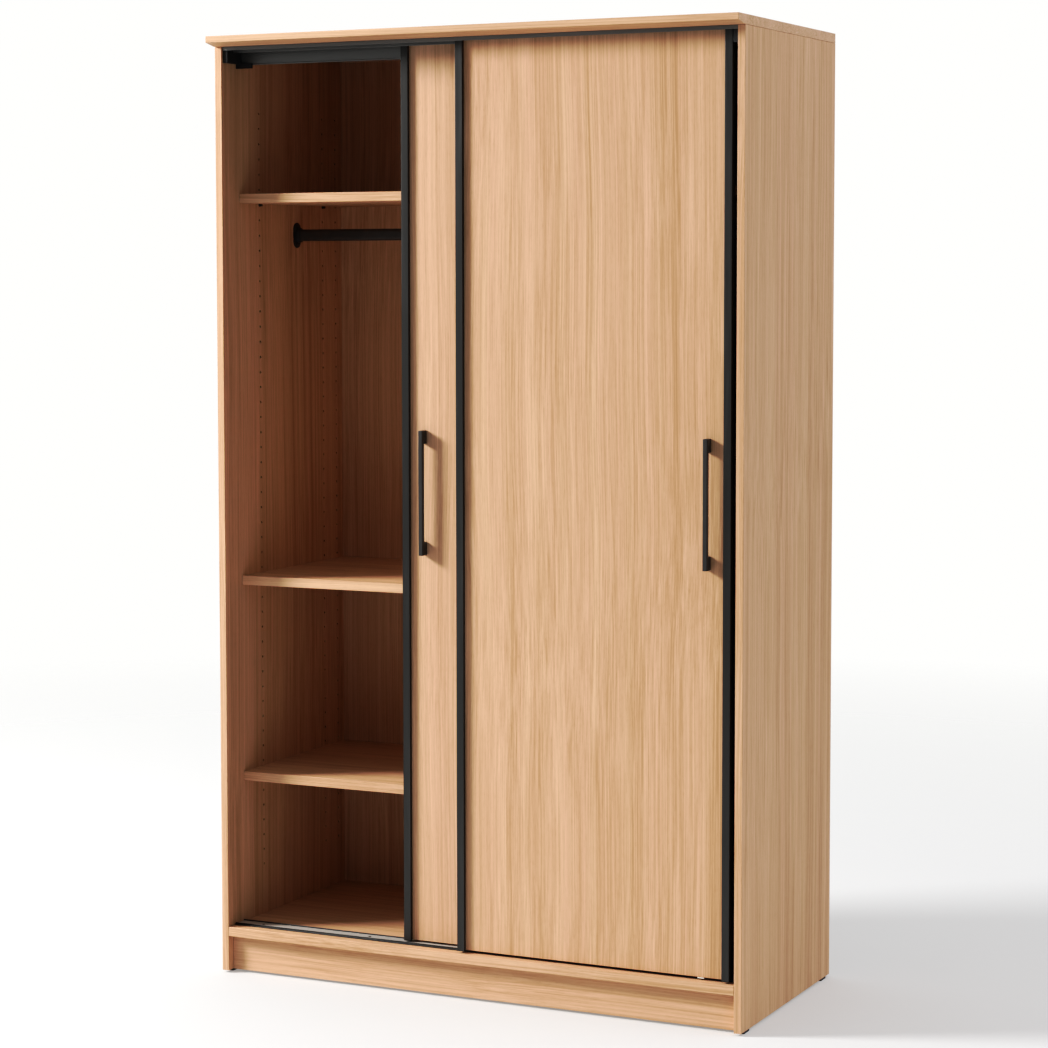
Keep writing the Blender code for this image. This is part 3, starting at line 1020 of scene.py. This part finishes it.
@dataclass
class Back(Assembly):
    """Back panels, the strip that joins them and the screws that hold them."""

    strip_width: float = 0.024
    strip_thickness: float = 0.0014
    strip_round: float = 0.0005
    panel_round: float = 0.0003
    upright_screws: int = 9
    level_screws: int = 4
    end_margin: float = 0.05

    def make(self) -> None:
        """Makes the panels, the joining strip and the screws."""
        for side, shift in (("left", (2.2, 9.1, 0.7)), ("right", (6.8, 0.3, 4.1))):
            node = f"back_panel_{side}"
            oak = Oak(f"oak_{node}", Axis.Z, shift, roughness=0.52)
            solid = Shape.block(*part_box(node)).soften(self.panel_round, 1)
            solid.paint(lambda face: int(facing(face, Side.REAR)))
            self.publish(node, solid, (oak, HARDBOARD), "oak_back")
        low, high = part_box("back_panel_left")
        start = (-self.strip_width / 2, high.y + GAP / 2, low.z)
        end = (self.strip_width / 2, high.y + GAP / 2 + self.strip_thickness, high.z)
        strip = Shape.block(start, end).soften(self.strip_round)
        name = "back_joint_strip"
        self.publish(name, strip, (BLACK_PLASTIC,), "black_plastic", stands_for=False)
        self.make_screws(low, high, end[1])

    def make_screws(self, low: Vector, high: Vector, strip_y: float) -> None:
        """Makes one piece of every screw head on the back.

        Args:
            low: Low corner of the left back panel.
            high: High corner of the left back panel.
            strip_y: The joining strip's rear face.
        """
        heads = Shape()
        rise = (high.z - low.z - 2 * self.end_margin) / (self.upright_screws - 1)
        for number in range(self.upright_screws):
            place = Vector((0, strip_y, low.z + self.end_margin + rise * number))
            heads.add(screw_head(place, Side.REAR))
        step = -low.x / (self.level_screws + 1)
        for node, sides in (("bottom_board", (-1, 1)), ("shelf_middle_left", (-1,))):
            for side in sides:
                for number in range(1, self.level_screws + 1):
                    place = Vector((side * step * number, high.y, centre_of(node).z))
                    heads.add(screw_head(place, Side.REAR))
        self.publish("back_screws", heads, (ZINC,), "dark_steel", stands_for=False)


@dataclass
class Fittings(Assembly):
    """Shelf pins, hanging rails, rail sockets and glides."""

    pin_root: float = 0.0004
    pin_nose: float = 0.0006
    pin_steps: int = 20
    pin_collar: float = 0.0034
    collar_length: float = 0.0012
    collar_sink: float = 0.999
    rail_wall: float = 0.0012
    plate_thickness: float = 0.003
    plate_round: float = 0.0009
    cup_round: float = 0.0006
    oval_limit: float = 1.0
    glide_round: float = 0.0009
    cup: tuple[float, float] = (0.021, 0.032)
    cup_root: float = 0.001
    screw_inset: float = 0.0075

    def make(self) -> None:
        """Makes the small fittings of the inside and the feet."""
        for node in sorted(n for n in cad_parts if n.startswith("shelf_pin_")):
            self.make_pin(node)
        for side in ("left", "right"):
            self.make_rail(f"hanging_rail_{side}")
            for end, out in (("left", 1), ("right", -1)):
                self.make_socket(f"rail_socket_{side}_{end}", out)
        for node in sorted(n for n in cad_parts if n.startswith("glide_")):
            glide = Shape.block(*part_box(node)).soften(self.glide_round, 3)
            self.publish(node, glide, (BLACK_PLASTIC,), "black_plastic")

    def make_pin(self, node: str) -> None:
        """Makes a shelf pin with a collar against the upright."""
        low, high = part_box(node)
        radius = (high.z - low.z) / 2
        half = (high.x - low.x) / 2
        out = 1 if "outer_left" in node or "inner_right" in node else -1
        face = -out * half + out * (ShelfHoles.depth - GAP)
        profile = [
            (0.0, -half),
            (radius - self.pin_root, -half),
            (radius, self.pin_root - half),
            (radius, half - self.pin_nose),
            (radius - self.pin_nose, half),
            (0.0, half),
        ]
        centre = (low + high) / 2
        pin = Shape.turned(profile, Axis.X, centre, self.pin_steps)
        start, end = sorted((face + out * GAP, face + out * self.collar_length))
        bore, rim = radius * self.collar_sink, self.pin_collar * self.collar_sink
        ring = [(bore, start), (rim, start), (rim, end), (bore, end)]
        collar = Shape.turned(ring, Axis.X, centre, self.pin_steps)
        self.publish(node, pin.add(collar), (DARK_STEEL,), "dark_steel")

    def make_rail(self, node: str) -> None:
        """Makes an oval tube, open at both ends."""
        low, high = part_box(node)
        size = (high.y - low.y, high.z - low.z)
        middle = ((low.y + high.y) / 2, (low.z + high.z) / 2)
        tube = Shape.prism(stadium(*size, middle), Axis.X, low.x, high.x)
        inner = stadium(size[0] - 2 * self.rail_wall, size[1] - 2 * self.rail_wall, middle)
        tube.join(Shape.prism(inner, Axis.X, low.x - GAP, high.x + GAP), Join.CUT)
        self.publish(node, tube.smooth(), (POWDER_COAT,), "black_metal")

    def make_socket(self, node: str, out: int) -> None:
        """Makes a rail socket with an oval plate, a cup and two screws.

        Args:
            node: The socket's node.
            out: 1 if the socket's cup points to the right, otherwise -1.
        """
        low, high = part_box(node)
        face, tip = (low.x, high.x) if out > 0 else (high.x, low.x)
        plate_face = face + out * self.plate_thickness
        middle = ((low.y + high.y) / 2, (low.z + high.z) / 2)
        oval = stadium(high.y - low.y, high.z - low.z, middle)
        plate = Shape.prism(oval, Axis.X, face, plate_face)
        plate.soften(self.plate_round, 3, self.oval_limit)
        root = plate_face - out * self.cup_root
        cup = Shape.prism(stadium(*self.cup, middle), Axis.X, root, tip)
        plate.join(cup.soften(self.cup_round, 2, self.oval_limit), Join.WELD)
        rail_low, rail_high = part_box("hanging_rail_left")
        rail = rail_high - rail_low
        bore = stadium(rail.y + 2 * GAP, rail.z + 2 * GAP, middle)
        plate.join(Shape.prism(bore, Axis.X, plate_face, tip + out * GAP), Join.CUT)
        plate.smooth().paint_all(0)
        side = Side.RIGHT if out > 0 else Side.LEFT
        for z in (low.z + self.screw_inset, high.z - self.screw_inset):
            place = Vector((plate_face, middle[0], z))
            head = screw_head(place, side, radius=0.0030, height=0.0010)
            plate.add(head.paint_all(1))
        self.publish(node, plate, (BLACK_PLASTIC, DARK_STEEL), "black_plastic")


@dataclass
class Tracks(Assembly):
    """Top and bottom tracks and the stops at the top track's ends."""

    wall: float = 0.002
    rib_front: float = 0.0275
    lip_bottom: float = 1.992
    rib_bottom: float = 1.988
    bead: tuple[float, float] = (0.0006, 0.0026)
    base: float = 0.0015
    rib_width: float = 0.002
    top_round: float = 0.0004
    bottom_round: float = 0.0003
    stop_round: float = 0.0008
    screw_inset: float = 0.06
    screws: int = 5
    toe_front: float = 0.0565
    toe_root: float = 0.001
    block_length: float = 0.0112
    block_bottom: float = 1.9665

    def make(self) -> None:
        """Makes both tracks and both stops."""
        self.make_top()
        self.make_bottom()
        for side, out in (("left", -1), ("right", 1)):
            self.make_stop(f"track_stop_{side}", out)

    def make_top(self) -> None:
        """Makes the top track, whose rear wall ends in a small bead."""
        low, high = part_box("top_track")
        web = high.z - self.wall
        rib = (low.y + self.rib_front, low.y + self.rib_front + self.wall)
        back = high.y - self.wall
        proud, tall = self.bead
        outline = [
            (low.y, self.lip_bottom),
            (low.y, high.z),
            (high.y, high.z),
            (high.y, low.z),
            (back - proud, low.z),
            (back - proud, low.z + tall),
            (back, low.z + tall + proud),
            (back, web),
            (rib[1], web),
            (rib[1], self.rib_bottom),
            (rib[0], self.rib_bottom),
            (rib[0], web),
            (low.y + self.wall, web),
            (low.y + self.wall, self.lip_bottom),
        ]
        track = Shape.prism(outline, Axis.X, low.x, high.x).soften(self.top_round)
        # The top track's pale finish is a painted reflection of the sky.
        self.publish("top_track", track, (TRACK_PAINTED_REFLECTION,), "black_aluminium")

    def make_bottom(self) -> None:
        """Makes the bottom track: two black ribs on a paler bed, screwed down."""
        low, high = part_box("bottom_track")
        floor = low.z + self.base
        outline = [(low.y, floor), (low.y, low.z), (high.y, low.z), (high.y, floor)]
        ribs = [centre_of(f"{door}_roller_left_wheel").y for door in ("front_door", "rear_door")]
        for middle in reversed(ribs):
            rear, front = middle + self.rib_width / 2, middle - self.rib_width / 2
            outline += [(rear, floor), (rear, high.z), (front, high.z), (front, floor)]
        track = Shape.prism(outline, Axis.X, low.x, high.x).soften(self.bottom_round)
        inner = (ribs[0] + self.rib_width, ribs[1] - self.rib_width)

        def on_bed(face: bmesh.types.BMFace) -> int:
            """1 on the bed between the ribs, otherwise 0."""
            y = face.calc_center_median().y
            return int(facing(face, Side.TOP) and inner[0] < y < inner[1])

        track.paint(on_bed)
        length = high.x - low.x - 2 * self.screw_inset
        for number in range(self.screws):
            x = low.x + self.screw_inset + length * number / (self.screws - 1)
            place = Vector((x, sum(ribs) / 2, floor))
            head = screw_head(place, Side.TOP, radius=0.0034, height=0.0007)
            track.add(head.paint_all(2))
        finishes = (TRACK_RIBS, TRACK_BED, DARK_STEEL)
        self.publish("bottom_track", track, finishes, "black_aluminium")

    def make_stop(self, node: str, out: int) -> None:
        """Makes a stop block with a toe below the track's rear wall.

        Args:
            node: The stop's node.
            out: 1 at the right end, otherwise -1.
        """
        low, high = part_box(node)
        track_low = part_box("top_track")[0]
        rib_front = track_low.y + self.rib_front
        rib = (rib_front - GAP, rib_front + self.wall + GAP)
        outline = [
            (low.y, self.block_bottom),
            (high.y, self.block_bottom),
            (high.y, high.z),
            (rib[1], high.z),
            (rib[1], self.rib_bottom - GAP),
            (rib[0], self.rib_bottom - GAP),
            (rib[0], high.z),
            (low.y, high.z),
        ]
        wall_x = high.x if out > 0 else low.x
        face_x = wall_x - out * self.block_length
        block = Shape.prism(outline, Axis.X, *sorted((wall_x, face_x)))
        toe_low = (low.x, track_low.y + self.toe_front, low.z)
        toe = Shape.block(toe_low, (high.x, high.y, self.block_bottom + self.toe_root))
        block.join(toe, Join.WELD).soften(self.stop_round, 3)
        self.publish(node, block, (BLACK_PLASTIC,), "black_plastic")


@dataclass
class Door(Assembly):
    """One sliding door."""

    name: str = "front_door"
    shift: Colour = (0.0, 0.0, 0.0)
    banding: float = 0.24
    stile_wall: float = 0.0015
    slot_depth: float = 0.007
    lip: float = 0.0012
    handle_bar: float = 0.0095
    handle_post: float = 0.028
    handle_round: float = 0.0013
    panel_round: float = 0.0005
    panel_band: float = 0.0008
    stile_round: float = 0.0005
    pad_round: float = 0.0009

    def make(self) -> None:
        """Makes the panel, stiles, guides, handle and rollers."""
        self.make_panel()
        self.make_handle()
        for end, out in (("left", -1), ("right", 1)):
            self.make_stile(end, out)
            self.make_guide(end)
            RollerHousing(self.finishes).make(self.name, end)
            Wheel(self.finishes).make(self.name, end)

    def make_panel(self) -> None:
        """Makes the decor panel with bands along its top and bottom edges."""
        node = f"{self.name}_panel"
        oak = Oak(f"oak_{self.name}", Axis.Z, self.shift, banding=self.banding)
        board = Board(
            node,
            oak,
            banded=(Side.TOP, Side.BOTTOM),
            radius=self.panel_round,
            band=self.panel_band,
        )
        self.publish(node, board.shape(), board.finishes(), "oak_door", self.name)

    def make_stile(self, end: str, out: int) -> None:
        """Makes a stile: a hollow upright with a slot that holds the panel's edge.

        Args:
            end: left or right.
            out: 1 on the right, otherwise -1.
        """
        node = f"{self.name}_stile_{end}"
        low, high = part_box(node)
        panel_low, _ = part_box(f"{self.name}_panel")
        outer, inner = (high.x, low.x) if out > 0 else (low.x, high.x)
        slot_end = inner + out * self.slot_depth
        slot_front, slot_rear = panel_low.y - GAP, high.y - self.lip
        outline = [
            (outer, low.y),
            (outer, high.y),
            (inner, high.y),
            (inner, slot_rear),
            (slot_end, slot_rear),
            (slot_end, slot_front),
            (inner, slot_front),
            (inner, low.y),
        ]
        stile = Shape.prism(outline, Axis.Z, low.z, high.z).soften(self.stile_round, 3)
        wall = self.stile_wall
        left, right = sorted((outer - out * wall, inner + out * wall))
        start = (left, low.y + wall, low.z - GAP)
        chamber = Shape.block(start, (right, slot_front - wall, high.z + GAP))
        stile.join(chamber, Join.CUT)
        self.publish(node, stile, (DRAWN_UPRIGHT,), "black_aluminium", self.name)

    def make_guide(self, end: str) -> None:
        """Makes a top guide, whose plug stands in the stile."""
        node = f"{self.name}_guide_{end}"
        low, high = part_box(node)
        stile_low, stile_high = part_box(f"{self.name}_stile_{end}")
        panel_low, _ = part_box(f"{self.name}_panel")
        pad = Shape.block((low.x, low.y, stile_high.z + GAP), high).soften(self.pad_round, 3)
        wall = self.stile_wall + GAP
        inset = Vector((wall, wall, 0))
        top = Vector((high.x, panel_low.y - GAP, stile_high.z + 2 * GAP)) - inset
        plug = Shape.block(Vector((stile_low.x, stile_low.y, low.z)) + inset, top)
        pad.join(plug, Join.WELD)
        self.publish(node, pad, (BLACK_PLASTIC,), "black_plastic", self.name)

    def make_handle(self) -> None:
        """Makes the square bar handle on two posts, and its screws behind the panel."""
        node = f"{self.name}_handle"
        low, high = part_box(node)
        bar = low.y + self.handle_bar
        outline = [
            (low.y, low.z),
            (high.y, low.z),
            (high.y, low.z + self.handle_post),
            (bar, low.z + self.handle_post),
            (bar, high.z - self.handle_post),
            (high.y, high.z - self.handle_post),
            (high.y, high.z),
            (low.y, high.z),
        ]
        handle = Shape.prism(outline, Axis.X, low.x, high.x).soften(self.handle_round, 3)
        self.publish(node, handle, (POWDER_COAT,), "black_metal", self.name)
        _, panel_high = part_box(f"{self.name}_panel")
        heads = Shape()
        for z in (low.z + self.handle_post / 2, high.z - self.handle_post / 2):
            place = Vector(((low.x + high.x) / 2, panel_high.y, z))
            heads.add(screw_head(place, Side.REAR, radius=0.0040, height=0.0012))
        name = f"{self.name}_handle_screws"
        self.publish(name, heads, (ZINC,), "dark_steel", self.name, stands_for=False)


@dataclass
class RollerHousing(Assembly):
    """The housing behind a panel's foot that carries one wheel, and a clip at the right."""

    clip: tuple[float, float] = (0.014, 0.0026)
    head: float = 0.036
    slot: float = 0.0062
    clearance: float = 0.0126
    axle_radius: float = 0.002
    rivet: float = 0.0008
    body_round: float = 0.0012
    clip_round: float = 0.0005
    screws: Outline = ((-0.011, -0.009), (0.011, -0.009), (0.0, -0.025))

    def make(self, door: str, end: str) -> None:
        """Makes one housing with its axle, rivet ends and three screws.

        Args:
            door: The door's name.
            end: left or right.
        """
        node = f"{door}_roller_{end}_housing"
        low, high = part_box(node)
        axle = centre_of(f"{door}_roller_{end}_wheel")
        outline = [
            (low.x, low.z),
            (high.x, low.z),
            (axle.x + self.head / 2, high.z),
            (axle.x - self.head / 2, high.z),
        ]
        panel_low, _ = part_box(f"{door}_panel")
        housing = Shape.prism(outline, Axis.Y, low.y, high.y).soften(self.body_round, 3)
        room = Shape.block(
            (axle.x - self.clearance, axle.y - self.slot / 2, 0.0),
            (axle.x + self.clearance, axle.y + self.slot / 2, axle.z + self.clearance),
        )
        housing.join(room, Join.CUT)
        half, radius = self.slot / 2 + self.rivet, self.axle_radius
        profile = [(0.0, -half), (radius, -half), (radius, half), (0.0, half)]
        housing.join(Shape.turned(profile, Axis.Y, axle, steps=20), Join.WELD).paint_all(0)
        for x, z in self.screws:
            place = Vector((axle.x + x, high.y, high.z + z))
            head = screw_head(place, Side.REAR, radius=0.0032, height=0.0010)
            housing.add(head.paint_all(1))
        if end == "right":
            housing.add(self.make_clip(axle.x, panel_low, low.y))
        self.publish(node, housing, (BLACK_PLASTIC, ZINC, NYLON), "black_plastic", door)

    def make_clip(self, middle: float, panel_low: Vector, rear: float) -> Shape:
        """A white clip that holds the panel's lower edge.

        Args:
            middle: Its place along X.
            panel_low: The panel's low corner.
            rear: Where it ends at the back.

        Returns:
            The clip.
        """
        width, height = self.clip
        top = panel_low.z - GAP
        low = (middle - width / 2, panel_low.y + GAP, top - height)
        clip = Shape.block(low, (middle + width / 2, rear - GAP, top))
        return clip.soften(self.clip_round).paint_all(2)


@dataclass
class Wheel(Assembly):
    """A grooved nylon wheel with a steel bush."""

    bore: float = 0.0023
    bush: float = 0.0040
    groove: float = 0.0028
    groove_drop: float = 0.002
    edge: float = 0.0004
    bush_fit: float = GAP / 3
    steps: int = 40
    bush_steps: int = 32

    def make(self, door: str, end: str) -> None:
        """Makes one wheel.

        Args:
            door: The door's name.
            end: left or right.
        """
        node = f"{door}_roller_{end}_wheel"
        low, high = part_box(node)
        rim = (high.z - low.z) / 2
        half, groove, edge = (high.y - low.y) / 2, self.groove / 2, self.edge
        profile = [
            (self.bush, -half + edge),
            (rim - 3 * edge, -half),
            (rim - edge, -half),
            (rim, -half + edge),
            (rim, -groove),
            (rim - self.groove_drop, -groove + edge),
            (rim - self.groove_drop, groove - edge),
            (rim, groove),
            (rim, half - edge),
            (rim - edge, half),
            (rim - 3 * edge, half),
            (self.bush, half - edge),
        ]
        centre = (low + high) / 2
        wheel = Shape.turned(profile, Axis.Y, centre, self.steps).paint_all(0)
        bush = self.bush - self.bush_fit
        ring = [(self.bore, -half), (bush, -half), (bush, half), (self.bore, half)]
        wheel.add(Shape.turned(ring, Axis.Y, centre, self.bush_steps).paint_all(1))
        self.publish(node, wheel, (NYLON, ZINC), "white_nylon", f"{door}_roller_{end}")


# ---------------------------------------------------------------- studio


@dataclass(frozen=True)
class Lamp:
    """A round soft lamp aimed at the wardrobe."""

    name: str
    azimuth: float
    height: float
    distance: float
    size: float
    power: float
    colour: Colour = (1.0, 1.0, 1.0)

    def make(self) -> None:
        """Hangs the lamp; its azimuth is in degrees to the right of the front."""
        lamp = bpy.data.lights.new(self.name, "AREA")
        lamp.shape = "DISK"
        lamp.size = self.size
        lamp.energy = self.power
        lamp.color = self.colour
        turn, rise = math.radians(self.azimuth), math.radians(self.height)
        level = math.cos(rise)
        towards = Vector((math.sin(turn) * level, -math.cos(turn) * level, math.sin(rise)))
        low, high = CAD_BOX
        hung = bpy.data.objects.new(self.name, lamp)
        bpy.context.scene.collection.objects.link(hung)
        hung.location = (low + high) / 2 + towards * self.distance
        hung.rotation_euler = towards.to_track_quat("Z", "Y").to_euler()


@dataclass
class Studio:
    """Floor, sky, lamps, tone curve and camera."""

    finishes: Finishes
    floor_radius: float = 6.0
    sky: Colour = (1.0, 1.0, 0.985)
    sky_bright: float = 0.80
    sky_dim: float = 0.20
    dim_towards: Colour = (0.30, -0.95, 0.05)
    lamps: tuple[Lamp, ...] = (
        Lamp("key", azimuth=-61.5, height=25.5, distance=7.0, size=1.8, power=750.0),
        Lamp(
            "fill",
            azimuth=100.0,
            height=38.0,
            distance=6.0,
            size=4.0,
            power=57.0,
            colour=(0.77, 0.77, 1.0),
        ),
    )
    tones: tuple[tuple[float, float], ...] = (
        (0.03, 0.0105),
        (0.06, 0.026),
        (0.15, 0.092),
        (0.33, 0.32),
    )
    camera_place: Colour = (2.550, -5.481, 1.530)
    camera_yaw: float = math.radians(26.494)
    camera_pitch: float = math.radians(-4.105)
    camera_roll: float = math.radians(-0.173)
    lens: float = 97.38
    shift: tuple[float, float] = (0.0762, -0.0505)

    def make(self) -> None:
        """Sets up the whole studio."""
        self.make_floor()
        self.make_sky()
        for lamp in self.lamps:
            lamp.make()
        self.make_tones()
        self.make_camera()

    def make_floor(self) -> None:
        """Lays a round floor that fades out at its rim."""
        shape = Shape()
        bmesh.ops.create_circle(shape.bm, cap_ends=True, segments=96, radius=self.floor_radius)
        mesh = bpy.data.meshes.new("floor")
        shape.bm.to_mesh(mesh)
        shape.bm.free()
        mesh.materials.append(self.finishes.get(Ground()))
        floor = bpy.data.objects.new("floor", mesh)
        bpy.context.scene.collection.objects.link(floor)

    def make_sky(self) -> None:
        """Lights the scene from all round, dimly from the front, before a white backdrop."""
        world = bpy.data.worlds.new("studio")
        bpy.context.scene.world = world
        sheet = Sheet(world, "Background")
        point = sheet.add("ShaderNodeTexCoord", {}, {})
        ray = Value(sheet, point.outputs["Generated"])
        settings = {"operation": "DOT_PRODUCT"}
        turn = sheet.add("ShaderNodeVectorMath", settings, {0: ray, 1: self.dim_towards})
        dim = sheet.spread(Value(sheet, turn.outputs[1]), 0.15, 0.92)
        light = self.sky_bright - dim * (self.sky_bright - self.sky_dim)
        path = sheet.add("ShaderNodeLightPath", {}, {})
        seen = Value(sheet, path.outputs["Is Camera Ray"])
        strength = light * (1.0 - seen) + seen
        sheet.surface(Color=self.sky, Strength=strength)

    def make_tones(self) -> None:
        """Deepens the darkest tones and leaves the light ones as they are."""
        view = bpy.context.scene.view_settings
        view.view_transform = "Standard"
        view.use_curve_mapping = True
        for place, tone in self.tones:
            view.curve_mapping.curves[3].points.new(place, tone)
        view.curve_mapping.update()

    def make_camera(self) -> None:
        """Places the camera in front, to the right, at eye height."""
        data = bpy.data.cameras.new("camera")
        data.lens = self.lens
        data.shift_x, data.shift_y = self.shift
        camera = bpy.data.objects.new("camera", data)
        bpy.context.scene.collection.objects.link(camera)
        turn = (
            Matrix.Rotation(self.camera_yaw, 4, "Z")
            @ Matrix.Rotation(math.pi / 2 + self.camera_pitch, 4, "X")
            @ Matrix.Rotation(self.camera_roll, 4, "Z")
        )
        camera.matrix_world = Matrix.Translation(self.camera_place) @ turn
        bpy.context.scene.camera = camera


def main() -> None:
    """Builds the wardrobe's pieces in order, then the studio."""
    logging.basicConfig(level=logging.INFO, format="%(name)s %(message)s")
    finishes = Finishes()
    for assembly in (
        Uprights(finishes),
        LevelBoards(finishes),
        Back(finishes),
        Fittings(finishes),
        Tracks(finishes),
        Door(finishes, "front_door", shift=(3.9, 0.2, 6.3)),
        Door(finishes, "rear_door", shift=(7.4, 5.8, 1.1), banding=0.12),
        Studio(finishes),
    ):
        assembly.make()


if __name__ == "__main__":
    main()
